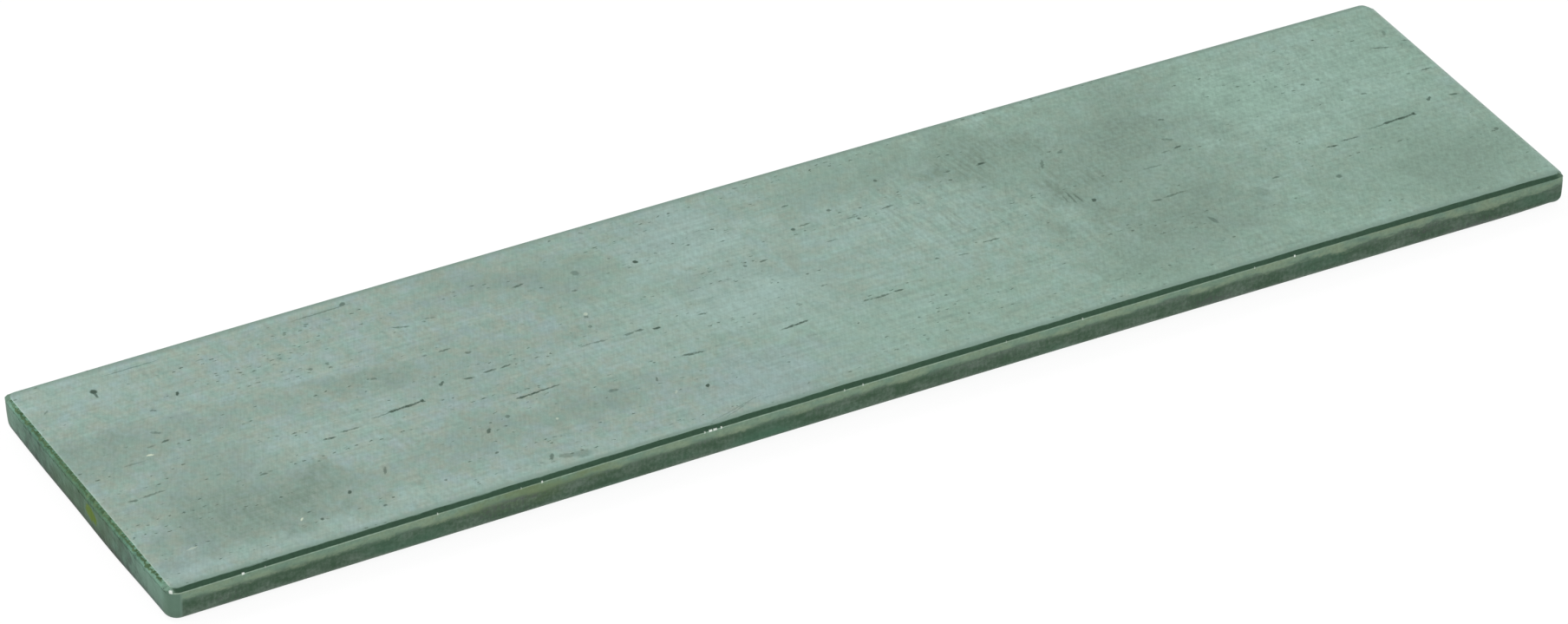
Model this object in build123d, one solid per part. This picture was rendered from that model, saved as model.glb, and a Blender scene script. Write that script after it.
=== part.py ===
"""A cut length of rolled steel flat bar, made of one solid.

The bar lies flat with its length along X, its width along Y and its thickness up Z.
The origin is on the underside, under the middle of the bar.

Rolling gives its two long sides their crown and the narrow bevel along the top. Shearing gives
its two ends, each of which leans inwards towards the underside and is drawn down along its top
edge, where the blade went in. After that the four upright corners are rounded off, and then the
lower edge all the way round.
"""

import os

from build123d import *

# Driving dimensions, in millimetres.
BAR_LENGTH = 250.0  # along X, over the top of the two sheared ends
BAR_WIDTH = 60.0  # along Y, over the crowns of the two long sides
BAR_THICKNESS = 6.0
SIDE_CROWN = 0.12  # how far a long side swells beyond its own upper and lower lines
SHEAR_LEAN = 0.25  # how far an end face leans in between the top and the underside
CORNER_RADIUS = 2.5  # the upright corners, seen from above
UNDERSIDE_RADIUS = 1.6  # the rounded lower edge
TOP_BEVEL = 0.6  # each leg of the 45 degree bevel along the top of a long side
ROLLOVER_LENGTH = 1.0  # how far along the bar the blade drew the top face down at an end
ROLLOVER_DROP = 0.45  # how far down it drew the edge


def crowned_section():
    """The section across the width, still square at the top: two crowned long sides."""
    half_width = BAR_WIDTH / 2
    shoulder = half_width - SIDE_CROWN
    with BuildSketch(Plane.YZ) as section:
        with BuildLine():
            Line((-shoulder, 0), (shoulder, 0))
            ThreePointArc((shoulder, 0), (half_width, BAR_THICKNESS / 2), (shoulder, BAR_THICKNESS))
            Line((shoulder, BAR_THICKNESS), (-shoulder, BAR_THICKNESS))
            ThreePointArc(
                (-shoulder, BAR_THICKNESS), (-half_width, BAR_THICKNESS / 2), (-shoulder, 0)
            )
        make_face()
    return section.sketch


def sheared_outline():
    """The bar seen from its long side: full length at the foot of the drawn-down edge.

    Each end face leans in from there to the underside, and its line runs on up to the top.
    """
    half_bottom = BAR_LENGTH / 2 - SHEAR_LEAN
    half_top = half_bottom + SHEAR_LEAN * BAR_THICKNESS / (BAR_THICKNESS - ROLLOVER_DROP)
    with BuildSketch(Plane.XZ) as outline:
        Polygon(
            (-half_bottom, 0),
            (half_bottom, 0),
            (half_top, BAR_THICKNESS),
            (-half_top, BAR_THICKNESS),
            align=None,
        )
    return outline.sketch


def bevelled_pass():
    """The gap between the rolls: much deeper than the bar, and closing at 45 degrees at the top."""
    half_flat = BAR_WIDTH / 2 - SIDE_CROWN - TOP_BEVEL
    depth = BAR_THICKNESS
    with BuildSketch(Plane.YZ) as gap:
        Polygon(
            (-half_flat - 2 * depth, -depth),
            (half_flat + 2 * depth, -depth),
            (half_flat, BAR_THICKNESS),
            (-half_flat, BAR_THICKNESS),
            align=None,
        )
    return gap.sketch


def rollover_pass():
    """Seen from the long side: all that lies under the slopes which the shear left at both ends."""
    half_flat = BAR_LENGTH / 2 - ROLLOVER_LENGTH
    turns = BAR_THICKNESS / ROLLOVER_DROP
    reach = half_flat + turns * ROLLOVER_LENGTH
    with BuildSketch(Plane.XZ) as slopes:
        Polygon(
            (-reach, 0),
            (-reach, -BAR_THICKNESS),
            (reach, -BAR_THICKNESS),
            (reach, 0),
            (half_flat, BAR_THICKNESS),
            (-half_flat, BAR_THICKNESS),
            align=None,
        )
    return slopes.sketch


def flat_bar():
    """A longer run of the section, sheared at both ends, then rounded, bevelled and drawn down."""
    stock = extrude(crowned_section(), amount=BAR_LENGTH, both=True)
    shears = extrude(sheared_outline(), amount=BAR_WIDTH, both=True)
    bar = stock & shears

    upright_edges = bar.edges().filter_by(lambda edge: 0 < edge.center().Z < BAR_THICKNESS)
    bar = fillet(upright_edges, CORNER_RADIUS)

    underside = bar.faces().sort_by(Axis.Z)[0]
    bar = fillet(underside.edges(), UNDERSIDE_RADIUS)

    bar = bar & extrude(bevelled_pass(), amount=BAR_LENGTH, both=True)
    return bar & extrude(rollover_pass(), amount=BAR_WIDTH, both=True)


os.makedirs("parts", exist_ok=True)
export_step(flat_bar(), "parts/flat_bar.step")
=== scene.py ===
# %% [markdown]
# # A cut length of rolled steel flat bar
# The object is one piece of steel: 250 mm long, 60 mm wide and 6 mm thick. Nothing is painted or
# fixed to it, so everything that makes it look real is in its edges and its skin. The frame is the
# plain CAD bar, loaded first, and everything else is placed in the same metres.

# %% Load the frame
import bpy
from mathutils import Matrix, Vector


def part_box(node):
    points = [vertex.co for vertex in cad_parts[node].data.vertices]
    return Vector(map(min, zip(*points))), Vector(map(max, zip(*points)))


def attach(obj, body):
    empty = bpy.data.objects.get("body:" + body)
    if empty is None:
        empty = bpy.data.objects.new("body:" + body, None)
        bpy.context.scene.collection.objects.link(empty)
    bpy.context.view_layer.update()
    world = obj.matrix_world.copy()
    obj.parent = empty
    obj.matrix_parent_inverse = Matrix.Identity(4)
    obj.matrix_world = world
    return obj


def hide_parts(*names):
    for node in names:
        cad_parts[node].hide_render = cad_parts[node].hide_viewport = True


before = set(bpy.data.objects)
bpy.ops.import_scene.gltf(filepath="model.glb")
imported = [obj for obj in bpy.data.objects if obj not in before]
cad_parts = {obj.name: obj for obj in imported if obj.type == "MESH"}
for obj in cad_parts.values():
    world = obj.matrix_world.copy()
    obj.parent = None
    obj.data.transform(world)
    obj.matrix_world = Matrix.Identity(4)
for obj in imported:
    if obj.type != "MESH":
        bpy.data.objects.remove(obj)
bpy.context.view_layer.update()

# %% [markdown]
# Two modules of Blender's make the mesh and the scene, and numpy works out the shapes.

import bmesh
import bpy
import numpy as np
from mathutils import Quaternion, Vector

# %% [markdown]
# ## Sizes
# A steelworker thinks in millimetres, and Blender here works in metres. The sizes are written once,
# in millimetres. The length and the thickness come from the CAD bar itself, so that the skin always
# fits it.

# %% The bar's sizes, in millimetres
MM = 0.001
low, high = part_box("flat_bar")
HALF_LENGTH = (high.x - low.x) / 2 / MM
HALF_WIDTH = 30.0
THICKNESS = (high.z - low.z) / MM
CORNER_RADIUS = 2.5  # the upright corners, seen from above
LOWER_RADIUS = 1.6  # the rounded lower edge
SIDE_CROWN = 0.12  # the swell of a long side
TOP_BEVEL = 0.6  # each leg of the bevel along the top of a long side
ROLLOVER = 1.0  # how far along the bar the shear drew its top down at an end
ROLLOVER_DROP = 0.45  # and how far down it drew the edge
END_LEAN = 0.25  # how far an end leans in towards the underside
EDGE_BREAK = 0.06  # the worn width of an edge that is otherwise sharp
RISE = 0.58  # the bar isn't dead straight: its middle stands this far off the floor
print("bar:", 2 * HALF_LENGTH, "x", 2 * HALF_WIDTH, "x", THICKNESS, "mm")

# %% [markdown]
# ## The outline, seen from above
# From above the bar is a long rectangle with rounded corners. An easy way to walk round such a
# shape is to think of a foot and an arm: the foot walks round a smaller rectangle, and the arm, as
# long as the corner radius, points outwards. On a straight side the foot moves and the arm keeps
# still. At a corner the foot stays and the arm turns. A shorter arm then gives any line inside the
# outline, which is what the edge needs later.

# %% Walk round the outline
SIDE_STEPS, END_STEPS, CORNER_STEPS = 500, 240, 18


def outline():
    """Feet and arm directions round the bar, as two arrays of x, y pairs, anticlockwise.

    The foot's rectangle is the bar's, less the corner radius all round. Each straight run is even
    steps from one corner of it to the next, and each corner is even steps of a quarter turn.
    """
    reach_x, reach_y = HALF_LENGTH - CORNER_RADIUS, HALF_WIDTH - CORNER_RADIUS
    corners = np.array([(-1, -1), (1, -1), (1, 1), (-1, 1)]) * (reach_x, reach_y)
    feet, arms = [], []
    for n, (start, steps) in enumerate(zip(corners, [SIDE_STEPS, END_STEPS] * 2)):
        finish = corners[(n + 1) % 4]
        heading = np.radians(-90 + 90 * n)
        run = np.linspace(0, 1, steps, endpoint=False)[:, None]
        feet.append(start + (finish - start) * run)
        arms.append(np.tile([np.cos(heading), np.sin(heading)], (steps, 1)))
        turn = heading + np.linspace(0, np.pi / 2, CORNER_STEPS, endpoint=False)
        feet.append(np.tile(finish, (CORNER_STEPS, 1)))
        arms.append(np.stack([np.cos(turn), np.sin(turn)], axis=1))
    return np.concatenate(feet), np.concatenate(arms)


feet, arms = outline()
on_long_side = arms[:, 1] ** 2  # 1 on a long side, 0 on an end, and in between round a corner
along = feet[:, 0] + CORNER_RADIUS * arms[:, 0]
across = feet[:, 1] + CORNER_RADIUS * arms[:, 1]
print("outline points:", len(feet))

# %% [markdown]
# No two corners of a sheared bar are alike. Two are well rounded, the near right one has stayed
# almost square, and the far left one is in between. An arm as long as the way to the square corner
# would draw that corner, so a corner between the two gets an arm in between. Above and below the
# height where it is fullest, such a corner is a little rounder.

# %% The four corners
# share of squareness, and the height where the corner is fullest, for the two squarer corners
NEAR_RIGHT, NEAR_RIGHT_FULLEST = 0.72, 4.2
FAR_LEFT, FAR_LEFT_FULLEST = 0.3, 5.5
FADES_OVER = 4.6  # the squareness is gone this far above or below
NEAR_RIGHT_FADES_DOWN_OVER = 9.0  # and this far below, at the near right
to_square = 1 / np.maximum(np.abs(arms[:, 0]), np.abs(arms[:, 1])) - 1
at_near_right = (arms[:, 0] > 0) & (arms[:, 1] < 0)
at_far_left = (arms[:, 0] < 0) & (arms[:, 1] > 0)
squareness = NEAR_RIGHT * at_near_right + FAR_LEFT * at_far_left
fullest = np.where(at_near_right, NEAR_RIGHT_FULLEST, FAR_LEFT_FULLEST)


def arm_length(z):
    """How long the arm is at a height: the corner radius, and longer where a corner is squarer.

    The squareness falls away above and below the fullest height, as a parabola.
    """
    reach = np.where(at_near_right & (z < fullest), NEAR_RIGHT_FADES_DOWN_OVER, FADES_OVER)
    fullness = np.clip(1 - ((z - fullest) / reach) ** 2, 0, 1)
    return CORNER_RADIUS * (1 + squareness * to_square * fullness)


print("longest arm:", arm_length(np.full(len(feet), THICKNESS)).max().round(2), "mm")

# %% [markdown]
# ## Gentle irregular lines
# Rolled and sheared edges are never drawn with a ruler. A sum of a few sine waves whose lengths
# don't divide each other gives a line that wanders and repeats only after a long way. It is the
# same each time the script runs, and works on whole arrays.


# %% A wandering line
def wander(position, longest, phase=0.0, octaves=4):
    """A value from about -1 to 1 that changes smoothly with the position, in millimetres.

    Each octave is a sine a little under half as long as the one before, and over half as strong.
    """
    total, strength, length = np.zeros_like(position), 1.0, longest
    for octave in range(octaves):
        total += strength * np.sin(2 * np.pi * position / length + phase * (octave + 1.7))
        strength, length = strength * 0.55, length * 0.43
    return total / 1.6


# %% [markdown]
# ## The edge, from the top face down to the underside
# Seen at the cut end, the edge has five zones. The rolls press a narrow bevel along the top of each
# long side. Under it a thin lip stands proud, then comes a smooth band, and a wavy line below
# which the steel is rougher and a hair further in. Last, the lower edge is well rounded. At the two
# sheared ends there is no bevel. The blade has drawn the top edge down in a small curve, and just
# under it the shear has torn out a row of small slanting teeth.
#
# A Bevel modifier would round a block's edges too, but in the same way all round. So the edge is a
# profile, a list of pairs: how far in from the outline, and how high. Both are arrays, with one
# value for each point of the outline, so that the profile can change as it goes round the bar.

# %% Lines that run round the edge
side_run = np.where(np.abs(arms[:, 1]) > np.abs(arms[:, 0]), along, across)
LIP_HEIGHT = THICKNESS - TOP_BEVEL
BAND_FOOT = 3.75  # how high the foot of the smooth band lies, on the whole
band_foot = BAND_FOOT + 0.07 * wander(along, 47.0, 0.6) + 0.07 * wander(along, 7.0, 2.1)
flat_half_width = HALF_WIDTH - SIDE_CROWN - TOP_BEVEL
flat_half_length = HALF_LENGTH - ROLLOVER
FLAT_CORNER, FLAT_CORNER_TIGHT = 1.2, 0.3  # the flat's own corner radii: three round, one tight
ROLLOVER_CURVE = 1.6  # the power by which the drawn-down edge steepens
CORNER_FALL = 0.6  # how far the skin falls for each millimetre past a corner of the flat
top_arm = arm_length(np.full(len(feet), THICKNESS))


def top_drop(x, y):
    """How far the skin lies below the top face: the deepest of bevel, rollover and corner.

    The bevel falls at 45 degrees. The rollover starts level and steepens, as a power of the way
    along it. Past a rounded corner of the flat the skin falls by a share of the way beyond it.
    """
    bevel = np.maximum(np.abs(y) - flat_half_width, 0.0)
    rolled_over = np.maximum((np.abs(x) - flat_half_length) / ROLLOVER, 0.0) ** ROLLOVER_CURVE
    radius = np.where((x > 0) & (y < 0), FLAT_CORNER_TIGHT, FLAT_CORNER)
    past_x = np.maximum(np.abs(x) - (flat_half_length - radius), 0.0)
    past_y = np.maximum(np.abs(y) - (flat_half_width - radius), 0.0)
    past_both = (past_x > 0) & (past_y > 0)
    past_corner = np.maximum(np.hypot(past_x, past_y) - radius, 0.0) * past_both
    return np.maximum(np.maximum(bevel, ROLLOVER_DROP * rolled_over), CORNER_FALL * past_corner)


FURTHEST_IN, HALVINGS = 3.0, 30


def find_crease():
    """How far in from the outline the flat ends, along each arm.

    The search halves the stretch between a place on the edge and one on the flat, again and again.
    """
    on_edge, on_flat = np.zeros(len(feet)), np.full(len(feet), FURTHEST_IN)
    for _ in range(HALVINGS):
        middle = (on_edge + on_flat) / 2
        xy = feet + (top_arm - middle)[:, None] * arms
        falling = top_drop(xy[:, 0], xy[:, 1]) > 0
        on_edge, on_flat = np.where(falling, middle, on_edge), np.where(falling, on_flat, middle)
    return on_flat


crease_in = find_crease()
band_depth = LIP_HEIGHT - band_foot
print("smooth band:", band_depth.min().round(2), "to", band_depth.max().round(2), "mm deep")
print("the flat ends", crease_in.min().round(2), "to", crease_in.max().round(2), "mm in")


# %% Teeth torn by the shear
TOOTH_PITCH, TOOTH_DEPTH, TOOTH_CUT = 2.1, 0.5, 0.06
TEETH_END, TEETH_FADE = 1.5, 6.0  # they end this far from a side, and fade over this much


def teeth(y):
    """How far the torn line reaches down an end from its edge, at a distance across the bar.

    A sawtooth leans one way, as the blade closes like scissors, and a wandering line makes some
    teeth deep and others hardly there. They fade out before both corners.
    """
    saw = np.mod(y / TOOTH_PITCH + 0.35 * wander(y, 13.0, 0.4), 1.0)
    depth = TOOTH_DEPTH * (0.3 + 0.7 * saw) * (0.75 + 0.35 * wander(y, 21.0, 1.3))
    fade = np.clip((HALF_WIDTH - TEETH_END - np.abs(y)) / TEETH_FADE, 0.0, 1.0)
    return np.maximum(depth * fade, 0.02)


tooth_reach = teeth(across)
print("teeth reach down", tooth_reach.max().round(2), "mm at most")

# %% [markdown]
# The lower edge and the lean of the ends aren't even either. Along the left end the lower edge is
# fuller in the middle, where the blade left more steel, and at its far corner the end leans in
# more. At the near right corner the blade's pull left the lower edge of the side rounder for a few
# millimetres, and that of the very tip tighter.

# %% Uneven lower edge and lean
on_left_end = (1 - on_long_side) * (along < 0)
FULL_AT, FULL_WIDTH = -9.0, 10.0  # where the left end is fuller, and over what width
TIP_STARTS, TIP_LENGTH = 113.0, 11.0
fuller = np.exp(-(((across - FULL_AT) / FULL_WIDTH) ** 2))
lower_radius = LOWER_RADIUS - on_left_end * (0.15 + 0.55 * fuller)
near_tip = np.clip((along - TIP_STARTS) / TIP_LENGTH, 0, 1) ** 1.5 * (across < 0)
tip_end = (1 - on_long_side) * (across < -HALF_WIDTH + 3)
lower_radius = lower_radius + near_tip * (0.7 * on_long_side - 0.25 * tip_end)
lean = END_LEAN + 0.35 * on_left_end * np.clip((across - 12.0) / 16.0, 0, 1) ** 1.5
print("lower radius from", lower_radius.min().round(2), "to", lower_radius.max().round(2), "mm")


# %% The walls
def crown_in(z):
    """How far in a long side lies: nothing at mid height, the crown at top and bottom."""
    return SIDE_CROWN * ((z - THICKNESS / 2) / (THICKNESS / 2)) ** 2


def wall_in(z, rough=0.0):
    """The upright wall's distance in from the outline: crowned on a side, leaning on an end."""
    leaning = (1 - on_long_side) * lean * (THICKNESS - z) / THICKNESS
    return on_long_side * crown_in(z) + leaning + rough


# %% [markdown]
# The profile goes down in four runs. The first is the bevel on a side and the drawn-down edge on an
# end. The second is the smooth band, the third the rougher steel under it, whose face has fine
# waves, and the last goes round the lower edge.

# %% The profile
BURR, LIP_DEPTH = 0.03, 0.2  # how proud the lip stands, and how far down it goes
LEAST_BAND = 0.3  # the foot of the band lies at least this far under the lip
TORN_STARTS = 0.25  # how far under the drawn-down edge the torn line starts
BAND_STEP, STEP_DEPTH = 0.06, 0.5  # how far in the steel steps under the wavy line, over what depth
FINE_WAVES, WAVE_LENGTH, WAVE_SLANT = 0.014, 1.7, 3.7


def edge_profile():
    """Rows of (distance in, height), from the edge of the top flat down to the underside's."""
    rows = []
    edge_in = wall_in(LIP_HEIGHT)
    for share in (0.0, 0.06, 0.3, 0.55, 0.78, 0.94, 1.0):  # down the bevel, over the rollover
        inset = crease_in + (edge_in - crease_in) * share
        xy = feet + (top_arm - inset)[:, None] * arms
        worn = EDGE_BREAK * share**2
        ragged = TOOTH_CUT * (1 - on_long_side) * np.sin(np.pi * share) * wander(across, 2.6, 0.8)
        drop = np.maximum(top_drop(xy[:, 0], xy[:, 1]), worn)
        rows.append((inset, THICKNESS - drop - np.abs(ragged)))
    lip = rows[-1][1]
    burr = BURR * on_long_side * (1.0 + 0.8 * wander(along, 3.1, 0.9))
    rows[-1] = (edge_in - burr, lip)
    rows.append((edge_in - burr, lip - 0.3 * LIP_DEPTH))
    rows.append((edge_in, lip - LIP_DEPTH))

    torn_to = THICKNESS - ROLLOVER_DROP - TORN_STARTS - tooth_reach
    foot = on_long_side * band_foot + (1 - on_long_side) * torn_to
    foot = np.minimum(foot, lip - LEAST_BAND)
    torn = TOOTH_CUT * (1 - on_long_side)
    for share in (0.15, 0.5, 0.85, 1.0):  # down the smooth band
        z = lip - LIP_DEPTH + (foot - (lip - LIP_DEPTH)) * share
        rows.append((wall_in(z, torn * (share < 1.0)), z))
    step = BAND_STEP * on_long_side
    for drop, share in ((0.15, 0.6), (0.6, 1.0), (1.0, 1.0)):  # in under the wavy line
        z = foot - drop * STEP_DEPTH
        rows.append((wall_in(z, step * share), z))
    last = rows[-1][1]
    for share in np.linspace(0, 1, 8)[1:]:  # down the rougher steel
        z = last + (lower_radius - last) * share
        waves = wander(side_run + WAVE_SLANT * z, WAVE_LENGTH, 5 * share)
        waves = waves * FINE_WAVES * (1 - 0.8 * share)
        rows.append((wall_in(z, step * (1 - share) + waves), z))
    for angle in np.linspace(0, np.pi / 2, 9)[1:]:  # round the lower edge
        inset = wall_in(lower_radius) + lower_radius * (1 - np.cos(angle))
        rows.append((inset, lower_radius * (1 - np.sin(angle))))
    return rows


rows = edge_profile()
print("profile rows:", len(rows))

# %% [markdown]
# ## The whole skin
# The profile is carried round the outline, and both flats are closed by drawing the last row in to
# the bar's long centre line. Each point slides straight towards its own place on that line. The
# points of the two long sides meet there in pairs and are merged, so the skin is one closed
# surface.


# %% Carry the profile round the outline
def ring(inset, z):
    """One closed loop of points at a distance in from the outline and a height."""
    xy = feet + (arm_length(z) - inset)[:, None] * arms
    return np.column_stack([xy, z])


def drawn_in(loop, share):
    """The loop moved a share of the way to the centre line, at its own height."""
    spine = np.column_stack([
        np.clip(loop[:, 0], HALF_WIDTH - HALF_LENGTH, HALF_LENGTH - HALF_WIDTH),
        np.zeros(len(loop)),
        loop[:, 2],
    ])
    return loop + (spine - loop) * share


def lift(points):
    """Raises the middle of the bar: a flat arch, nothing at the ends and the full rise half way."""
    arch = RISE * (1 - (points[:, 0] / HALF_LENGTH) ** 2)
    return points + np.column_stack([np.zeros((len(points), 2)), arch])


edge_loops = [ring(inset, z) for inset, z in rows]
CLOSING = (0.02, 0.08, 0.2, 0.4, 0.65, 1.0)  # shares of the way to the centre line
loops = [drawn_in(edge_loops[0], share) for share in reversed(CLOSING)]
loops += edge_loops
loops += [drawn_in(edge_loops[-1], share) for share in CLOSING]
points = lift(np.concatenate(loops)) * MM

# %% Make the mesh
around, down = len(feet), len(loops)
column = np.arange(around)
right = (column + 1) % around
above = np.arange(down - 1)[:, None] * around
below = above + around
quads = np.stack([above + column, below + column, below + right, above + right], axis=2)
mesh = bpy.data.meshes.new("bar_skin")
mesh.from_pydata(points.tolist(), [], quads.reshape(-1, 4).tolist())
skin = bpy.data.objects.new("bar_skin", mesh)
bpy.context.scene.collection.objects.link(skin)
print("skin:", len(points), "points,", quads.size // 4, "faces")

# %% [markdown]
# ## Values that follow the edge
# The finish has to know where the smooth band ends and how deep the teeth go at each place round
# the bar. Both were worked out above for the outline, so they are handed to every point of the
# profile as attributes, which the material can read.

# %% Attributes on the skin
for name, value in (("band_foot", band_foot), ("tooth_reach", tooth_reach)):
    layer = mesh.attributes.new(name, "FLOAT", "POINT")
    layer.data.foreach_set("value", np.tile(value, down).astype(np.float32))

# %% Merge the closing line and keep the creases crisp
MERGE_WITHIN, SLIVER = 1e-6, 1e-7  # in metres
CRISP_ABOVE = 28  # degrees
shell = bmesh.new()
shell.from_mesh(mesh)
bmesh.ops.remove_doubles(shell, verts=shell.verts, dist=MERGE_WITHIN)
bmesh.ops.dissolve_degenerate(shell, edges=shell.edges, dist=SLIVER)
bmesh.ops.recalc_face_normals(shell, faces=shell.faces)
open_edges = sum(1 for edge in shell.edges if not edge.is_manifold)
shell.to_mesh(mesh)
shell.free()
mesh.shade_smooth()
mesh.set_sharp_from_angle(angle=np.radians(CRISP_ABOVE))
print("after merging:", len(mesh.vertices), "points,", len(mesh.polygons), "faces")
print("open edges:", open_edges)

# %% [markdown]
# ## Writing a material in sums
# A material is a chain of small sums: where am I, how near is that mark, how dark does that make
# the steel. Wiring dozens of nodes by hand hides the sums, so a small class wraps a socket and
# turns ordinary arithmetic into Math nodes. Anything that isn't arithmetic comes from one method,
# which takes the node's type, its settings, and what goes into its sockets.


# %% A socket that does arithmetic
class Wire:
    """One value in the finish. +, -, *, /, > and < on it each add a Math node."""

    tree = None

    def __init__(self, socket):
        self.socket = socket

    @classmethod
    def node(cls, kind, settings=None, sockets=None, out=0):
        """Adds a node, makes its settings, fills its sockets with numbers or wires.

        What comes back is one of the node's outputs, if it has any.
        """
        made = cls.tree.nodes.new(kind)
        for name, value in (settings or {}).items():
            setattr(made, name, value)
        for name, value in (sockets or {}).items():
            if isinstance(value, Wire):
                cls.tree.links.new(value.socket, made.inputs[name])
            else:
                made.inputs[name].default_value = value
        return cls(made.outputs[out]) if len(made.outputs) else None

    def sum_with(self, operation, other, swapped=False):
        first, second = (other, self) if swapped else (self, other)
        return Wire.node("ShaderNodeMath", {"operation": operation}, {0: first, 1: second})

    def __add__(self, other):
        return self.sum_with("ADD", other)

    __radd__ = __add__

    def __sub__(self, other):
        return self.sum_with("SUBTRACT", other)

    def __rsub__(self, other):
        return self.sum_with("SUBTRACT", other, swapped=True)

    def __mul__(self, other):
        return self.sum_with("MULTIPLY", other)

    __rmul__ = __mul__

    def __truediv__(self, other):
        return self.sum_with("DIVIDE", other)

    def __gt__(self, other):
        return self.sum_with("GREATER_THAN", other)

    def __lt__(self, other):
        return self.sum_with("LESS_THAN", other)


# %% Words for the commonest nodes
def begin(tree):
    """Empties a tree of nodes, and has every new node go into it."""
    Wire.tree = tree
    tree.nodes.clear()


def math(operation, *values):
    """Any other Math node, such as the larger of two values or a value without its sign."""
    return Wire.node("ShaderNodeMath", {"operation": operation}, dict(enumerate(values)))


def rise(value, low, high, top=1.0):
    """0 below low, the top value above high, a smooth ramp in between. It falls if low > high."""
    sockets = {"Value": value, "From Min": low, "From Max": high, "To Max": top}
    return Wire.node("ShaderNodeMapRange", {"interpolation_type": "SMOOTHSTEP"}, sockets)


def framed(place, centre=(0, 0), size=(1, 1), turn=0.0):
    """The place as seen from a centre, turned by an angle in degrees, in units of the size."""
    sockets = {
        "Vector": place,
        "Location": (centre[0], centre[1], 0),
        "Rotation": (0, 0, np.radians(turn)),
        "Scale": (size[0], size[1], 1),
    }
    return Wire.node("ShaderNodeMapping", {"vector_type": "TEXTURE"}, sockets)


def noise(place, size, detail=2.0, roughness=0.5, out=0):
    """Cloudy noise on a plane, from -0.5 to 0.5, with clouds about this many millimetres across.

    Its second output, out=1, is a colour, and comes as it is, from 0 to 1.
    """
    sockets = {"Vector": place, "Scale": 1.0 / size, "Detail": detail, "Roughness": roughness}
    made = Wire.node("ShaderNodeTexNoise", {"noise_dimensions": "2D"}, sockets, out=out)
    return made - 0.5 if out == 0 else made


def drawn_out(place, length, width, turn=0.0, detail=2.0, roughness=0.5):
    """Noise pulled out into strokes of a length and width, at an angle to the bar in degrees."""
    return noise(framed(place, size=(length / width, 1), turn=turn), width, detail, roughness)


def around_zero(colour):
    """The colour of a noise, moved so that each of its three values lies from -0.5 to 0.5."""
    settings = {"operation": "SUBTRACT"}
    return Wire.node("ShaderNodeVectorMath", settings, {0: colour, 1: (0.5, 0.5, 0.5)})


def shaken(place, by, amount_x, amount_y):
    """The place moved about by a coloured noise, so that what is drawn there gets a ragged rim."""
    sockets = {0: by, 1: (amount_x, amount_y, 0.0), 2: place}
    return Wire.node("ShaderNodeVectorMath", {"operation": "MULTIPLY_ADD"}, sockets)


def ellipse(spot, centre, half_size, turn=0.0):
    """How far out a place lies on an ellipse, squared: 0 at the centre, 1 on the rim.

    The spot is (x, y, 1). One dot product with (cos t / a, sin t / a, -c / a) shifts, turns and
    shrinks x and y all at once, where t is the turn, a the half size, and c the centre's own share.
    """
    t = np.radians(turn)
    legs = []
    for axis, size in zip(((np.cos(t), np.sin(t)), (-np.sin(t), np.cos(t))), half_size):
        shift = axis[0] * centre[0] + axis[1] * centre[1]
        direction = (axis[0] / size, axis[1] / size, -shift / size)
        dot = {"operation": "DOT_PRODUCT"}
        legs.append(Wire.node("ShaderNodeVectorMath", dot, {0: spot, 1: direction}, out=1))
    return math("MULTIPLY_ADD", legs[0], legs[0], legs[1] * legs[1])


def blended(amount, colour_a, colour_b):
    """colour_a where the amount is 0, and colour_b where it is 1."""
    sockets = {0: amount, 6: colour_a, 7: colour_b}
    return Wire.node("ShaderNodeMix", {"data_type": "RGBA"}, sockets, out=2)


def scaled(colour, amount):
    """A colour made lighter or darker."""
    sockets = {0: colour, "Scale": amount}
    return Wire.node("ShaderNodeVectorMath", {"operation": "SCALE"}, sockets)


def paint(red, green, blue):
    """A colour as a painter's chart gives it, from 0 to 255, in Blender's linear values.

    A very dark value is divided by a number, and any other is raised to a power.
    """
    chart = np.array([red, green, blue]) / 255
    linear = np.where(chart <= 0.04045, chart / 12.92, ((chart + 0.055) / 1.055) ** 2.4)
    return (*linear.tolist(), 1.0)


# %% [markdown]
# ## The finish: raw rolled steel
# The steel is bare and dull, a grey that leans to green. It is far from even. Clouds of darker,
# warmer grey and paler, cooler grey lie over it, fine streaks run along the bar, and hairlines
# cross it at a slant. A painted image could show all this, but it would have to be unwrapped, and
# would blur close up. Sums worked out from the object's own coordinates stay sharp, and a size in
# them is a size on the bar, in millimetres. The height is measured from the arched underside, so
# that it is the same all along an edge.

# %% Start the steel
steel = bpy.data.materials.new("raw_rolled_steel")
steel.use_nodes = True
begin(steel.node_tree)
coordinates = Wire.node("ShaderNodeTexCoord", out="Object")
place = Wire.node("ShaderNodeVectorMath", {"operation": "SCALE"}, {0: coordinates, "Scale": 1 / MM})
x, y, z = (Wire.node("ShaderNodeSeparateXYZ", {}, {0: place}, out=n) for n in range(3))
height = z - RISE * (1 - (x / HALF_LENGTH) * (x / HALF_LENGTH))
far_across = math("ABSOLUTE", y)
far_along = math("ABSOLUTE", x)
plan = Wire.node("ShaderNodeCombineXYZ", {}, {0: x, 1: y, 2: 1.0})
side_plane = Wire.node("ShaderNodeCombineXYZ", {}, {0: x, 1: height, 2: 1.0})
end_plane = Wire.node("ShaderNodeCombineXYZ", {}, {0: y, 1: height, 2: 1.0})

# %% [markdown]
# The finish has to tell the zones apart. The two flat faces are all that lies at full height or on
# the floor. The left end takes in its rounded corners, and the right end only what lies below its
# drawn-down edge, which looks like the top. The long sides take the rest, from the bevel to the
# lower edge. The underside came through the same rolls as the top, so it gets the same steel.

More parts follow.
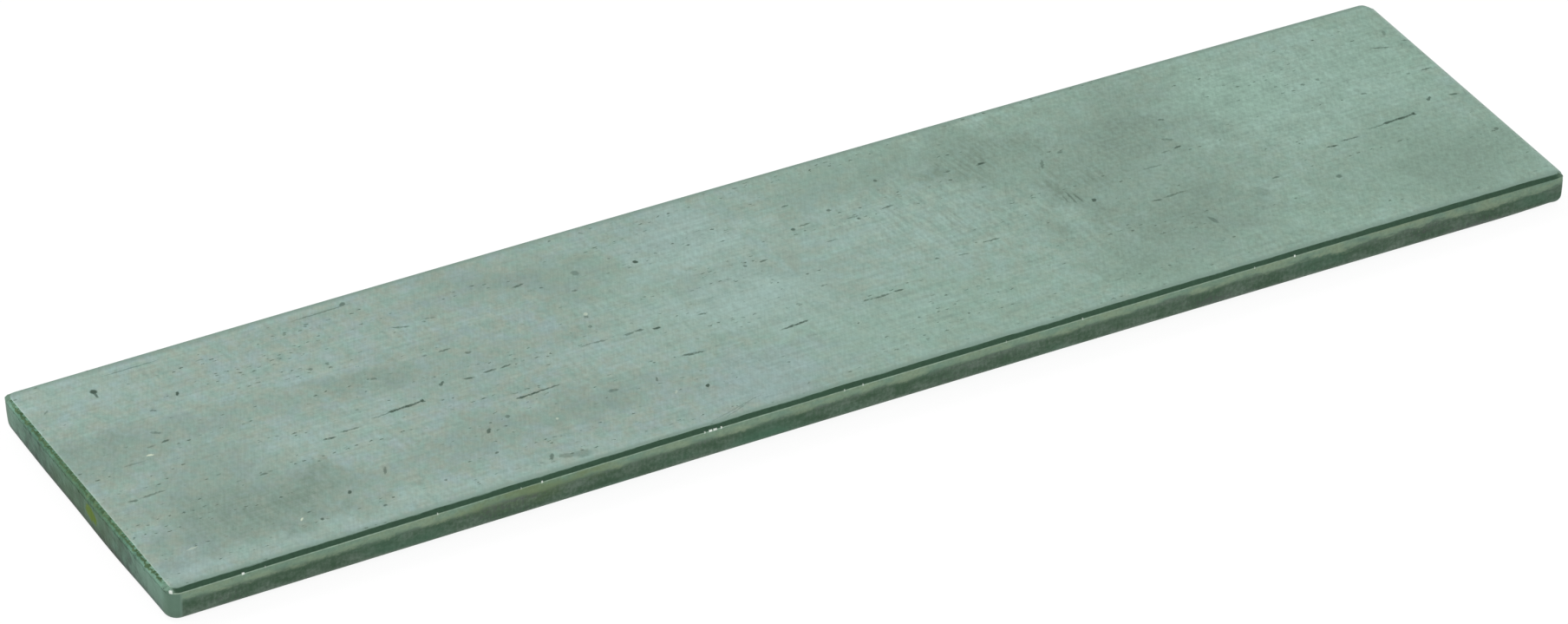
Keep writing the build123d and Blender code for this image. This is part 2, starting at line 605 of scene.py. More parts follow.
# %% Where each zone lies
from_end = HALF_LENGTH - far_along
from_side = HALF_WIDTH - far_across
left_half = x < 0.0
off_the_top = rise(height, THICKNESS - 0.012, THICKNESS - 0.04)
off_the_flats = off_the_top * rise(height, 0.008, 0.05)
left_end = rise(from_end, CORNER_RADIUS, CORNER_RADIUS - 0.7)
right_end = rise(from_end - from_side, 0.2, -0.2) * rise(height, LIP_HEIGHT + 0.1, LIP_HEIGHT - 0.1)
bevel_runs_on = rise(height, LIP_HEIGHT - 0.4, LIP_HEIGHT - 0.25) * rise(from_end, 0.7, 1.3)
bevel_runs_on = bevel_runs_on * rise(from_side, 1.8, 1.3) * (y < 0.0)
on_end = off_the_flats * (left_half * left_end * (1 - bevel_runs_on) + (1 - left_half) * right_end)
drawn_down = (1 - left_half) * rise(from_end, ROLLOVER + 0.2, ROLLOVER)
drawn_down = drawn_down * rise(height, LIP_HEIGHT - 0.1, LIP_HEIGHT + 0.1)
drawn_down = drawn_down * rise(from_side - from_end, 0.0, 0.4)
on_side = off_the_flats * (1 - on_end) * (1 - drawn_down)
on_flat = 1 - math("MAXIMUM", on_side, on_end)
in_bevel = on_side * rise(height, LIP_HEIGHT - 0.1, LIP_HEIGHT)

# %% [markdown]
# ## Clouds
# Broad patches where the scale came off differently. Noise alone would scatter them evenly, and a
# real bar's aren't even, so the large ones are written down, each with a place of its own. A patch
# is an ellipse whose rim is shaken by noise, and the patches overlap, so that no outline can be
# read. One list is for darker and warmer patches, the next for paler and cooler ones, and the last
# two for patches that lean to green and to blue.

# %% Patches with a place of their own
# centre x, centre y, half length, half width, turn in degrees, strength
DARK_PATCHES = [
    (-106, -11, 14, 13, 10, 0.5), (-105, -19, 18, 9, 0, 0.42), (-121, 7, 9, 6, -5, 0.5),
    (-104, 8, 15, 4, -6, 0.4), (-76, 7, 10, 3.5, -12, 0.5), (-92, -17, 12, 4, 0, 0.35),
    (-58, -16, 19, 4.5, 0, 0.4), (-40, -16, 10, 5, 0, 0.3), (-36, 18, 12, 6, -10, 0.36),
    (-46, 22, 14, 6, 0, 0.2), (-60, 3, 18, 7, 0, 0.25), (-11, 6, 11, 2.5, -8, 0.4),
    (2, -1, 4, 7, 30, 0.25), (15, 22, 14, 6, 5, 0.3), (30, 21, 9, 6, 0, 0.32),
    (43, 20, 9, 8, 0, 0.56), (38, 10, 8, 8, 0, 0.2), (58, 14, 17, 13, 0, 0.34),
    (63, 0, 18, 15, 0, 0.42), (74, 17, 12, 12, 0, 0.4), (50, -1, 5, 9, 0, 0.4),
    (57, -15, 15, 9, 0, 0.35), (50, -24, 6, 8, 0, 0.35), (70, -13, 10, 7, 0, 0.3),
    (103, -17, 16, 11, 0, 0.3), (115, -20, 12, 9, 0, 0.4), (112, -6, 12, 6, 0, 0.18),
    (66, -24, 16, 6, 0, 0.25),
]
PALE_PATCHES = [
    (-11, 20, 9, 10, 0, 0.6), (-9, -3, 11, 8, 0, 0.78), (-20, -23, 9, 7, 20, 0.3),
    (-20, 8, 9, 9, 0, 0.35), (-85, -4, 13, 5, 0, 0.3), (-60, -1, 26, 3, 0, 0.15),
    (-106, -27, 30, 3, 0, 0.35), (-60, -27, 34, 3, 0, 0.3), (-6, 12, 6, 12, 0, 0.3),
    (18, 4, 20, 12, 0, 0.3), (-116, 25, 9, 6, 0, 0.3), (-75, 15, 30, 3, 0, 0.15),
    (54, -11, 2.6, 2.4, 0, 0.45), (100, 12, 20, 14, 0, 0.35), (2, -16, 12, 8, 0, 0.25),
    (-30, -4, 14, 8, 0, 0.25),
]
GREEN_PATCHES = [
    (10, -20, 26, 11, 0, 0.6), (-27, 12, 9, 16, 0, 0.45), (87, 17, 9, 10, 0, 0.9),
    (103, 8, 20, 15, 0, 0.7), (113, -18, 18, 12, 0, 0.9), (50, -24, 9, 8, 0, 0.7),
    (30, 25, 30, 5, 0, 0.4), (85, -22, 14, 9, 0, 0.5), (-15, -10, 14, 8, 0, 0.3),
    (118, 18, 9, 14, 0, 0.6), (45, 14, 6, 8, 0, 0.4),
]
BLUE_PATCHES = [
    (-19, -22, 13, 7, 15, 0.9), (-13, 22, 9, 9, 0, 0.6), (-119, -25, 8, 5, 0, 0.6),
    (-10, 0, 9, 6, 0, 0.35),
]
slow_shake = around_zero(noise(plan, 10.0, 4.0, 0.65, out=1))
cloud_spot = shaken(plan, slow_shake, 30.0, 17.0)


def patchwork(patches):
    """The sum of the patches, each falling away smoothly from its middle."""
    total = 0.0
    for centre_x, centre_y, half_x, half_y, turn, strength in patches:
        reach = ellipse(cloud_spot, (centre_x, centre_y), (half_x, half_y), turn)
        total = rise(reach, 2.0, -0.3, strength) + total
    return total


darker = patchwork(DARK_PATCHES)
paler = patchwork(PALE_PATCHES)
greener = patchwork(GREEN_PATCHES)
bluer = patchwork(BLUE_PATCHES)
print("patches:", len(DARK_PATCHES), "darker,", len(PALE_PATCHES), "paler,")
print("         ", len(GREEN_PATCHES), "greener,", len(BLUE_PATCHES), "bluer")

# %% [markdown]
# ## Grain
# Under the clouds lies the grain. Streaks follow the rolling, short strokes stand across it where
# the rolls chattered, and hairlines cross both at a slant. Each is plain noise on a plane that is
# stretched one way, which pulls its clouds into strokes. A mottle of two sizes fills in between.

# %% Grain of the top face
mottle = noise(plan, 4.5, 3.0, 0.6)
grain = noise(plan, 0.9, 3.0, 0.65)
streaks = drawn_out(plan, 22.0, 0.7, detail=2.0, roughness=0.6)
chatter = drawn_out(plan, 5.0, 0.75, turn=97, detail=2.0)
hairlines = drawn_out(plan, 3.5, 0.35, turn=64, detail=1.0)
chattered = 0.5 + rise(x, 8, 30) * rise(x, 70, 45) * rise(y, -10, 6)
coarser = 1.0 + rise(x, 10, 50, 0.5)
tone = 1.0 + (mottle * 0.26 + grain * 0.36) * coarser
tone = tone + streaks * 0.26 + chatter * chattered * 0.34 + hairlines * 0.18

# %% The greys of the top face
WARM = paint(158, 173, 159)
COOL = paint(146, 175, 163)
GREEN = paint(145, 178, 160)
DARK_CLOUD = paint(119, 141, 127)
PALE_CLOUD = paint(162, 190, 181)
BLUE_GREY = paint(147, 168, 172)
hue = noise(plan, 2.6, 3.0, 0.6)
body_colour = blended(rise(hue, -0.24, 0.24), WARM, COOL)
body_colour = blended(rise(mottle + grain * 0.25, -0.12, 0.26) * 0.55, body_colour, BLUE_GREY)
body_colour = blended(rise(x + mottle * 60, -40, 70) * 0.5, body_colour, GREEN)
body_colour = blended(greener * 0.7, body_colour, GREEN)
body_colour = blended(bluer * 0.5, body_colour, BLUE_GREY)
dark_here = darker * (0.76 + mottle * 1.4 + streaks * 1.1 + chatter * chattered * 2.0)
body_colour = blended(dark_here, body_colour, DARK_CLOUD)
body_colour = blended(paler * 0.8, body_colour, PALE_CLOUD)

# %% [markdown]
# ## Marks from the rolls
# A chip of scale caught on a roll prints a small pit each time it comes round, so the same marks
# come again after one turn of the roll. The wrapped length below is what makes that happen: past
# one turn the pattern starts again, and it has drifted sideways a little. So each mark is written
# down once, with its place, length, width, turn and strength.

# %% Marks that repeat with the roll
ROLL_TURN, ROLL_DRIFT = 181.2, 0.8
ROLL_START = -HALF_LENGTH
second_turn = x > (ROLL_START + ROLL_TURN)
rolled_x = math("WRAP", x, ROLL_START + ROLL_TURN, ROLL_START)
rolled_y = y + second_turn * ROLL_DRIFT
rolled = Wire.node("ShaderNodeCombineXYZ", {}, {0: rolled_x, 1: rolled_y, 2: 1.0})
quick_shake = around_zero(noise(rolled, 0.62, 2.0, out=1))
frayed = shaken(rolled, quick_shake, 0.55, 0.45)

# x, y, length, width, turn in degrees, strength
MARKS = [
    (-75.8, -3.3, 2.6, 0.22, 2, 0.6), (-73.2, -3.05, 2.6, 0.36, 4, 0.95),
    (-70.9, -2.95, 2.1, 0.42, -2, 1.0), (-69.3, -2.8, 1.2, 0.3, 5, 0.85),
    (-68.4, -2.7, 0.6, 0.56, 0, 1.0), (-81.8, -4.5, 2.7, 0.25, -2, 0.7),
    (-85.6, -5.1, 1.5, 0.4, -6, 0.95), (-63.6, 0.1, 1.2, 0.38, 38, 0.8),
    (-59.2, -0.6, 1.6, 0.34, -12, 0.75), (-55.4, -0.3, 1.7, 0.36, 4, 0.8),
    (-52.6, -0.3, 1.7, 0.28, 8, 0.8), (-54.3, -9.1, 1.7, 0.42, 0, 0.9),
    (-52.4, -9.0, 2.3, 0.36, 4, 0.95), (-50.2, -8.85, 2.3, 0.28, 0, 0.85),
    (-48.4, -8.75, 1.5, 0.22, 2, 0.7), (-108.1, 6.2, 1.1, 0.34, 9, 0.8),
    (-110.6, 5.9, 1.3, 0.25, 3, 0.4), (-108.4, 8.9, 1.6, 0.38, -28, 0.45),
    (-114.9, 2.9, 3.0, 0.25, -1, 0.35), (-119.3, -5.9, 1.3, 0.36, -8, 0.65),
    (-115.8, -5.7, 3.5, 0.3, 3, 0.55), (-98.8, -8.9, 1.0, 0.34, 0, 0.6),
    (-106.2, 14.5, 0.9, 0.36, -25, 0.6), (-79.8, 13.2, 0.5, 0.5, 0, 0.6),
    (-76.8, 13.3, 0.5, 0.5, 0, 0.5), (-72.3, 6.2, 0.9, 0.34, -17, 0.5),
    (-62.2, 17.1, 2.6, 0.3, -21, 0.6), (-57.0, 17.2, 1.5, 0.3, -16, 0.5),
    (-62.5, 8.2, 0.7, 0.3, 0, 0.6), (-59.1, 8.1, 1.6, 0.3, 1, 0.65),
    (-56.1, 5.8, 1.0, 0.38, -3, 0.6), (-58.8, -12.7, 0.6, 0.5, 0, 0.6),
    (-40.5, 18.8, 1.6, 0.38, 9, 0.75), (-33.3, 13.4, 0.8, 0.36, 0, 0.6),
    (-38.8, -1.0, 2.0, 0.28, 3, 0.45), (-36.4, -1.1, 2.2, 0.3, -3, 0.5),
    (-31.4, -1.35, 1.6, 0.36, 3, 0.6), (-29.6, -1.25, 1.3, 0.36, -4, 0.7),
    (-26.9, -2.0, 1.0, 0.42, 0, 1.0), (-18.6, -1.8, 1.2, 0.34, -6, 0.8),
    (-25.1, -10.9, 3.1, 0.38, -8, 0.8), (-7.1, -11.3, 4.2, 0.34, 5, 0.9),
    (-41.1, -14.1, 1.5, 0.5, -5, 0.55), (-6.1, 7.0, 0.5, 0.42, 0, 0.7),
    (-2.8, 7.0, 1.1, 0.34, 5, 0.7), (-35.1, 6.0, 0.6, 0.55, 0, 0.6),
    (-35.9, 3.3, 0.6, 0.5, 0, 0.55), (7.9, 19.3, 1.1, 0.3, 5, 0.6), (5.8, 12.8, 0.5, 0.5, 0, 0.8),
    (8.0, 13.1, 1.8, 0.27, 4, 0.6), (16.0, 11.5, 1.6, 0.3, -1, 0.6),
    (22.4, 11.5, 1.8, 0.3, 7, 0.7), (9.7, 7.1, 1.8, 0.22, 0, 0.5),
    (13.6, 15.0, 0.8, 0.44, -18, 0.7), (36.2, 16.2, 1.0, 0.34, -2, 0.6),
    (42.2, 15.7, 1.4, 0.38, 4, 0.95), (32.6, -4.6, 2.0, 0.3, -2, 0.65),
    (26.3, -6.1, 1.6, 0.3, -9, 0.55), (2.3, -3.6, 1.1, 0.3, 2, 0.5),
    (6.4, -10.45, 1.6, 0.3, -3, 0.65), (8.9, -10.55, 2.4, 0.36, 2, 0.75),
    (12.0, -10.4, 1.4, 0.38, -4, 0.8), (55.2, 12.8, 0.9, 0.33, 0, 0.5),
]


def print_marks(where, marks):
    """The strongest of all the marks at each place: each is an ellipse that is soft at its rim."""
    total = 0.0
    for mark_x, mark_y, length, width, turn, strength in marks:
        reach = ellipse(where, (mark_x, mark_y), (length * 0.5, width * 0.6), turn)
        total = math("MAXIMUM", rise(reach, 2.4, 0.5, strength), total)
    return total


broken = noise(rolled, 0.7, 1.0)
rolled_marks = print_marks(frayed, MARKS) * (rise(broken, -0.3, 0.02, 0.5) + 0.5)
print("rolled marks:", len(MARKS), "written, repeating every", ROLL_TURN, "mm")

# %% [markdown]
# Some marks came later and don't repeat: knocks, a smear near the front edge, a pair of faint
# scratches, and rubbed places. They are written the same way, on the bar's own coordinates.

# %% Marks that came later
own_spot = shaken(plan, quick_shake, 0.4, 0.4)
KNOCKS = [
    (-112.1, 23.5, 1.0, 0.8, 87, 1.0), (-112.1, 22.7, 1.6, 0.36, 88, 0.8),
    (-100.9, 16.9, 1.0, 0.4, 65, 1.0), (-104.2, 26.7, 7.7, 0.2, 0, 0.45),
    (-71.2, 26.6, 8.5, 0.22, 1, 0.5), (-67.3, 27.1, 1.0, 0.6, 30, 0.7),
    (-120.9, 21.9, 1.1, 0.25, 41, 0.4), (-93.8, 23.6, 1.2, 0.25, 0, 0.4),
    (-89.3, -19.4, 0.8, 0.38, 62, 0.9), (-96.1, -23.7, 0.5, 0.42, 0, 0.8),
    (-86.1, -25.0, 0.5, 0.38, 0, 0.7), (-64.7, -20.6, 0.6, 0.38, 22, 0.7),
    (-63.1, -14.8, 1.2, 0.36, 55, 0.8), (-82.0, -16.8, 1.5, 0.33, 65, 0.6),
    (-20.9, 16.2, 0.7, 0.6, 0, 1.0), (-30.9, 17.8, 1.0, 1.0, 0, 0.45),
    (-33.6, -14.5, 1.0, 0.28, 63, 0.6), (-27.4, -19.7, 0.9, 0.4, 49, 1.0),
    (-57.8, -25.5, 1.5, 0.42, 63, 0.65), (-55.6, -26.3, 2.2, 0.8, -20, 0.4),
    (-53.2, -27.0, 2.6, 1.3, -10, 0.35), (-26.4, -27.2, 8.7, 0.16, 16, 0.3),
    (-26.8, -27.8, 4.9, 0.16, 21, 0.3), (24.5, 19.2, 0.5, 0.5, 0, 0.7),
    (50.9, 11.0, 2.1, 0.33, 64, 0.5), (50.0, 0.3, 3.0, 0.3, 88, 0.5),
    (51.0, -0.3, 2.3, 0.3, -84, 0.5), (49.0, 0.4, 2.0, 0.25, 85, 0.35),
    (52.9, -2.0, 0.8, 0.5, 45, 0.9), (91.8, -14.0, 0.9, 0.7, 60, 0.6),
    (66.9, -15.8, 1.9, 0.55, -77, 0.5), (122.0, 20.0, 1.2, 0.4, 70, 0.4),
    (78.3, -12.5, 2.0, 1.6, 60, 0.25),
]
SPECKS = [
    (-111.8, 3.9, 1.0, 0.34, -10, 0.8), (-98.9, -22.3, 0.6, 0.3, 55, 0.75),
    (-116.8, -21.3, 1.5, 0.3, 8, 0.3), (-34.8, 6.8, 0.7, 0.5, 45, 0.4),
    (-52.3, -16.8, 0.5, 0.4, 60, 0.4), (-32.6, -19.0, 0.8, 0.3, 50, 0.3),
]
knocks = print_marks(own_spot, KNOCKS)
specks = print_marks(own_spot, SPECKS)

# %% [markdown]
# Between the marks that have a name there are hundreds too small to write down. They sit in rows
# along the bar. A cell pattern gives one small pit to each cell, most cells are left empty, and a
# streaky noise decides which rows are busy. Towards the right end there are fewer.

# %% Small pits in rows
cells = {"feature": "F1", "voronoi_dimensions": "2D"}
cell_place = {"Vector": framed(frayed, size=(2.8, 1.0)), "Scale": 1.5}
pit_reach = Wire.node("ShaderNodeTexVoronoi", cells, cell_place, out="Distance")
pit_lot = Wire.node("ShaderNodeTexVoronoi", cells, cell_place, out="Color")
pit_lot = Wire.node("ShaderNodeSeparateColor", {}, {0: pit_lot}, out=0)
busy_row = drawn_out(rolled, 34.0, 1.8)
chosen = rise(pit_lot + busy_row * 2.8 - rise(x, 10, 60, 0.16), 0.92, 1.3)
small_pits = rise(pit_reach + grain * 0.6, 0.24, 0.04) * chosen * 0.75
pits = math("MAXIMUM", math("MAXIMUM", rolled_marks, knocks), small_pits) * on_flat

# %% The steel of the top face
PIT_COLOUR = paint(60, 82, 69)
SPECK_COLOUR = paint(222, 232, 208)
EDGE_GREY = paint(126, 152, 139)
top_colour = scaled(body_colour, tone)
near_edge = rise(far_across, flat_half_width - 1.3, flat_half_width - 0.1) * 0.75
top_colour = blended(near_edge, top_colour, EDGE_GREY)
top_colour = blended(pits * 0.95, top_colour, PIT_COLOUR)
top_colour = blended(specks, top_colour, SPECK_COLOUR)

# %% [markdown]
# ## The long sides
# The bevel is painted dark: a painted reflection of dark surroundings, except for an uneven rim
# next to the flat. The lip under it is painted bright, a painted highlight along its edge. The band
# below is smooth and olive, with one rusty patch, and under the wavy line the steel is darker, with
# short upright scores. Each zone could be faces with a material of their own, but its border would
# then follow the mesh. Here the height decides, with a little noise added, so that the borders are
# ragged.

# %% The steel of the long sides
# The first colour is the bevel's painted dark reflection, not a colour of the steel.
BEVEL_DARK_REFLECTION = paint(46, 77, 57)
# The lip's pale colour is a painted highlight.
LIP_PAINTED_HIGHLIGHT = paint(154, 178, 158)
BAND_OLIVE = paint(134, 155, 128)
BAND_DEEP = paint(108, 138, 120)
ROUGH_DARK = paint(56, 86, 62)
ROUGH_PALE = paint(92, 110, 96)
ROUGH_GREEN = paint(62, 100, 78)
ROUGH_DUSK = paint(84, 92, 88)
BAND_RUST = paint(100, 120, 72)
RUST_PLACE, RUST_REACH = (-63.0, 4.3), (11.0, 2.0)
side_foot = Wire.node("ShaderNodeAttribute", {"attribute_name": "band_foot"}, out="Fac")
side_cloud = drawn_out(side_plane, 6.0, 2.2, detail=4.0, roughness=0.65)
side_grain = noise(side_plane, 0.6, 3.0, 0.6)
side_scores = drawn_out(side_plane, 2.2, 0.5, turn=92, detail=2.0)
side_hue = noise(framed(side_plane, (7, 3), (3, 1)), 7.0, 3.0)
band_colour = blended(rise(side_cloud, -0.25, 0.25), BAND_OLIVE, BAND_DEEP)
rusty = rise(ellipse(side_plane, RUST_PLACE, RUST_REACH) + side_cloud * 4, 2.0, -0.4)
band_colour = blended(rusty * 0.6, band_colour, BAND_RUST)
rough_share = rise(side_scores * 0.42 + side_cloud + side_grain * 0.4, -0.28, 0.38)
rough_colour = blended(rough_share, ROUGH_DARK, ROUGH_PALE)
rough_colour = blended(rise(side_hue, 0.0, 0.3), rough_colour, ROUGH_GREEN)
rough_colour = blended(rusty * 0.3, rough_colour, BAND_RUST)
dusky = rise(side_hue + side_grain * 0.6, -0.05, -0.35)
rough_colour = blended(dusky * 0.8, rough_colour, ROUGH_DUSK)
far_right = rise(x + side_cloud * 60, 30, 100)
foot_line = side_foot + side_cloud * (1.8 + far_right * 1.8) + side_grain * 1.1
side_colour = blended(rise(height, foot_line + 0.65, foot_line - 0.42), band_colour, rough_colour)
from_lip = math("ABSOLUTE", height - (LIP_HEIGHT - 0.12))
# A painted highlight along the lip, fading out towards the right end.
lip_highlight = rise(from_lip, 0.2, 0.04) * (0.7 + side_hue * 1.6) * rise(x, 110, 50)
side_colour = blended(lip_highlight, side_colour, LIP_PAINTED_HIGHLIGHT)
# The bevel gets its painted dark reflection, weaker near the ends, with a paler rim next to the
# flat.
bevel_rim = rise(height + side_cloud * 0.3, THICKNESS - 0.13, THICKNESS - 0.03)
bevel_reflection_colour = blended(bevel_rim * 0.8, BEVEL_DARK_REFLECTION, EDGE_GREY)
side_colour = blended(in_bevel * (rise(from_end, 0.2, 1.8, 0.6) + 0.4), side_colour, bevel_reflection_colour)
side_tone = 1.0 - far_right * 0.08 + side_grain * 0.5 + side_cloud * 0.4 * (1 - in_bevel)
side_colour = scaled(side_colour, side_tone)

# %% Painted glints on the lip
# place along the bar, half length, brightness
PAINTED_GLINTS = [
    (-112.5, 0.28, 1.0), (-79.7, 0.12, 0.6), (-61.8, 0.18, 0.8), (-33.5, 0.14, 0.6),
    (-32.5, 0.36, 0.95), (-31.7, 0.42, 0.8), (-30.6, 0.16, 0.9), (-8.8, 0.12, 0.5),
    (-5.5, 0.14, 0.55), (34.2, 0.14, 0.5), (66.0, 0.12, 0.4), (73.5, 0.18, 0.85),
    (-108.8, 0.1, 0.3), (-65.4, 0.1, 0.35), (20.3, 0.1, 0.25),
]
# Each glint is a painted highlight: a small spot of near-white base colour on the lip.
painted_glints = 0.0
for glint_x, size, brightness in PAINTED_GLINTS:
    from_glint = math("ABSOLUTE", x - glint_x) / size
    near = math("MAXIMUM", from_glint, from_lip / 0.22)
    painted_glints = math("MAXIMUM", rise(near, 1.0, 0.5, brightness), painted_glints)
painted_glints = painted_glints * rise(y, -HALF_WIDTH + 1.5, -HALF_WIDTH + 0.8)

# %% [markdown]
# ## The sheared ends
# The end faces are mottled and crossed by slanting drag marks. On the left one the drawn-down edge
# is dark and green, down to the torn line, and a small yellow-green stain sits near the middle. The
# teeth were cut in the skin itself, and the colour reads how far they reach from its attribute, so
# that both follow the same line.

# %% The steel of the ends
END_PALE = paint(80, 121, 100)
END_DARK = paint(30, 62, 45)
END_OLIVE = paint(58, 92, 52)
END_LIGHT = paint(112, 148, 130)
CORNER_GREY = paint(96, 124, 106)
TORN_GREEN = paint(40, 72, 36)
TORN_PALE = paint(86, 114, 80)
STAIN = paint(84, 112, 0)
STAIN_PLACE, STAIN_REACH = (-2.6, 3.3), (1.9, 1.1)
reach_down = Wire.node("ShaderNodeAttribute", {"attribute_name": "tooth_reach"}, out="Fac")
drag = drawn_out(end_plane, 2.4, 0.45, turn=38, detail=3.0, roughness=0.6)
end_cloud = noise(end_plane, 3.0, 4.0, 0.6)
pale_share = rise(end_cloud * 1.2 + drag * 0.9 + (height - 3.4) * 0.08, -0.5, 0.4)
end_colour = blended(pale_share, END_DARK, END_PALE)
end_colour = blended(rise(far_across + end_cloud * 14, 17, 5) * 0.5, end_colour, END_OLIVE)
near_a_corner = math("ABSOLUTE", y - 2.5) + end_cloud * 8 + drag * 5
end_colour = blended(rise(near_a_corner, 18.0, 25.0) * 0.62, end_colour, END_LIGHT)
# Painted shade: the end is darker towards its lower edge, which turns under towards the floor.
end_colour = scaled(end_colour, rise(height, 0.7, 2.3, 0.52) + 0.48)
round_corner = rise(from_side + end_cloud * 2, CORNER_RADIUS + 0.6, CORNER_RADIUS - 0.8)
end_colour = blended(round_corner * 0.75, end_colour, CORNER_GREY)
down_the_end = (THICKNESS - height) - from_end * (ROLLOVER_DROP / ROLLOVER)
torn_foot = reach_down * 0.66 + drag * 0.9 + end_cloud * 0.5
torn = rise(down_the_end, torn_foot + 0.12, torn_foot - 0.12)
torn = torn * rise(far_across + end_cloud * 5, 28.3, 26.0) * left_half
nick = math("FRACT", y / 1.1 + end_cloud * 4)
torn = torn * rise(from_end + nick * 0.55, ROLLOVER + 0.14, ROLLOVER - 0.04)
torn_colour = blended(rise(drag + end_cloud * 0.5, -0.1, 0.4), TORN_GREEN, TORN_PALE)
end_colour = blended(torn, end_colour, torn_colour)
stained = ellipse(end_plane, STAIN_PLACE, STAIN_REACH, 12) + end_cloud * 3.4 + drag * 2.2
stain = rise(stained, 1.7, 0.9) * left_half
end_colour = blended(stain, end_colour, STAIN)

# %% Put the zones together
# The near-white of the painted highlights.
PAINTED_GLINT_WHITE = paint(238, 246, 238)
PAINTED_CORNER_GLINT_PLACE, PAINTED_CORNER_GLINT_REACH = (-124.27, -29.27), (0.3, 0.3)
steel_colour = blended(on_side, top_colour, side_colour)
steel_colour = blended(on_end, steel_colour, end_colour)
# A painted highlight at the top of the near left corner, like the glints on the lip.
painted_corner_glint = rise(ellipse(plan, PAINTED_CORNER_GLINT_PLACE, PAINTED_CORNER_GLINT_REACH), 1.5, 0.4)
painted_corner_glint = painted_corner_glint * rise(math("ABSOLUTE", height - LIP_HEIGHT), 0.4, 0.15)
steel_colour = blended(math("MAXIMUM", painted_glints, painted_corner_glint) * 0.9, steel_colour, PAINTED_GLINT_WHITE)

# %% [markdown]
# ## Dullness and relief
# The steel is neither polished nor rusty: a broad, soft sheen. Scale and a film of oil leave it
# only partly metallic to the eye. Pits, sides and ends are duller, and the painted glints glossier.
# The relief is a height in millimetres, made of the same grain as the colour, so that the streaks
# and scores also catch the light.

# %% Roughness, relief and the shader
SHEEN, METAL_SHARE, RELIEF_STRENGTH, STEEL_IOR = 0.47, 0.55, 0.7, 1.5
roughness = SHEEN + grain * 0.16 + streaks * 0.12 + pits * 0.2
roughness = roughness + on_side * 0.06 + on_end * 0.08 - painted_glints * 0.2
metal = METAL_SHARE + stain * on_end * (1 - METAL_SHARE)
relief = grain * 0.014 + streaks * 0.008 + hairlines * 0.01 + chatter * 0.006
relief = relief + side_scores * 0.018 * on_side * (1 - in_bevel) + drag * 0.06 * on_end
relief_sockets = {"Height": relief, "Distance": MM, "Strength": RELIEF_STRENGTH}
steel_sockets = {
    "Base Color": steel_colour,
    "Roughness": roughness,
    "Metallic": metal,
    "Normal": Wire.node("ShaderNodeBump", {}, relief_sockets),
    "IOR": STEEL_IOR,
}
shader = Wire.node("ShaderNodeBsdfPrincipled", {}, steel_sockets)
Wire.node("ShaderNodeOutputMaterial", {}, {"Surface": shader})
mesh.materials.append(steel)
print("finish:", len(steel.node_tree.nodes), "nodes")

# %% Hand the skin over to the frame
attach(skin, "root")
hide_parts("flat_bar")

# %% [markdown]
# ## Floor, light and camera
# The bar lies on a white floor. To the light that bounces about, it is plain white paint. To the
# camera and to reflections, most of its white is a glow and the rest is a thinner paint, so that it
# looks white and still keeps the bar's soft shadow.

# %% The floor
FLOOR_HALF_SIZE, FLOOR_CELLS = 3.0, 8  # in metres, and a count


def floor_grid(half_size, cells_across):
    """A flat square of even cells, centred under the bar."""
    steps = np.linspace(-half_size, half_size, cells_across + 1)
    gx, gy = np.meshgrid(steps, steps, indexing="ij")
    points = np.column_stack([gx.ravel(), gy.ravel(), np.zeros(gx.size)])
    row = cells_across + 1
    corner = (np.arange(cells_across)[:, None] * row + np.arange(cells_across)).ravel()
    faces = np.stack([corner, corner + row, corner + row + 1, corner + 1], axis=1)
    made = bpy.data.meshes.new("floor")
    made.from_pydata(points.tolist(), [], faces.tolist())
    return bpy.data.objects.new("floor", made)


floor = floor_grid(FLOOR_HALF_SIZE, FLOOR_CELLS)
bpy.context.scene.collection.objects.link(floor)

# %% The floor's white
PLAIN_PAINT, THIN_PAINT, WHITE = (0.8, 0.8, 0.8, 1.0), (0.12, 0.12, 0.12, 1.0), (1.0, 1.0, 1.0, 1.0)
GLOW = 0.91
white = bpy.data.materials.new("white_floor")
white.use_nodes = True
begin(white.node_tree)
seen = Wire.node("ShaderNodeLightPath", out="Is Camera Ray")
mirrored = Wire.node("ShaderNodeLightPath", out="Is Glossy Ray")
through = Wire.node("ShaderNodeLightPath", out="Is Transmission Ray")
direct = math("MINIMUM", seen + mirrored + through, 1.0)
paint_coat = Wire.node("ShaderNodeBsdfDiffuse", {}, {"Color": PLAIN_PAINT})
thin_coat = Wire.node("ShaderNodeBsdfDiffuse", {}, {"Color": THIN_PAINT})
glow = Wire.node("ShaderNodeEmission", {}, {"Color": WHITE, "Strength": GLOW})
lit_coat = Wire.node("ShaderNodeAddShader", {}, {0: thin_coat, 1: glow})
both = Wire.node("ShaderNodeMixShader", {}, {0: direct, 1: paint_coat, 2: lit_coat})
Wire.node("ShaderNodeOutputMaterial", {}, {"Surface": both})
floor.data.materials.append(white)

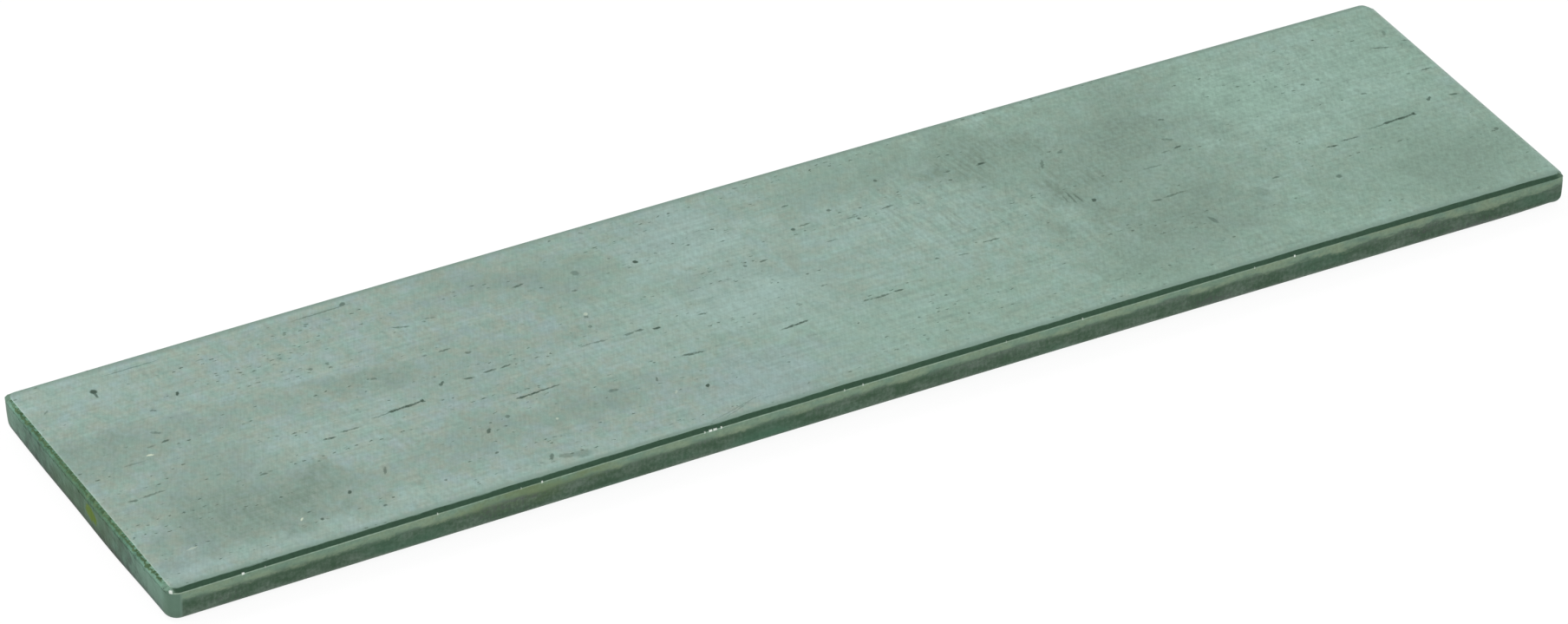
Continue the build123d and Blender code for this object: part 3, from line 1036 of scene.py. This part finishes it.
# %% [markdown]
# The studio is a plain white room, a little brighter to the camera than to the steel, so that the
# background stays white. Two square lamps stand high above, a stronger one behind the bar and a
# weaker one in front.

# %% The light
ROOM_LIGHT = 0.7
world = bpy.data.worlds.new("studio")
bpy.context.scene.world = world
world.use_nodes = True
begin(world.node_tree)
seen = Wire.node("ShaderNodeLightPath", out="Is Camera Ray")
room_light = seen * (1 - ROOM_LIGHT) + ROOM_LIGHT
sky = Wire.node("ShaderNodeBackground", {}, {"Color": WHITE, "Strength": room_light})
Wire.node("ShaderNodeOutputWorld", {}, {"Surface": sky})

TARGET = Vector((0.0, 0.0, 0.003))


def softbox(name, position, size, power):
    """A square area light of a size in metres, facing the bar."""
    lamp = bpy.data.lights.new(name, "AREA")
    lamp.size = size
    lamp.energy = power
    lit = bpy.data.objects.new(name, lamp)
    lit.location = position
    lit.rotation_euler = (TARGET - Vector(position)).to_track_quat("-Z", "Y").to_euler()
    bpy.context.scene.collection.objects.link(lit)
    return lit


softbox("key", (-0.6, 1.1, 1.3), size=1.0, power=12.0)
softbox("fill", (0.9, -0.9, 1.2), size=1.2, power=4.0)

# %% [markdown]
# The camera stands to the left of the bar and above it, well back and with a long lens, so that the
# long edges stay almost parallel. Its place, the point that it looks at and a small roll to one
# side fix its view.

# %% The camera
CAMERA_PLACE = Vector((-0.55685, -0.97126, 0.74570))
CAMERA_LOOKS_AT = Vector((-0.00434, -0.00265, 0.00300))
CAMERA_ROLL = 1.109  # degrees
LENS, SENSOR_WIDTH, CLIP_START = 194.80, 36.0, 0.05  # two in millimetres, the last in metres
camera_data = bpy.data.cameras.new("camera")
camera_data.sensor_width = SENSOR_WIDTH
camera_data.lens = LENS
camera_data.clip_start = CLIP_START
camera = bpy.data.objects.new("camera", camera_data)
camera.location = CAMERA_PLACE
facing = (CAMERA_LOOKS_AT - CAMERA_PLACE).to_track_quat("-Z", "Y")
camera.rotation_euler = (facing @ Quaternion((0, 0, 1), np.radians(CAMERA_ROLL))).to_euler()
bpy.context.scene.collection.objects.link(camera)
bpy.context.scene.camera = camera
bpy.context.scene.view_settings.view_transform = "Standard"
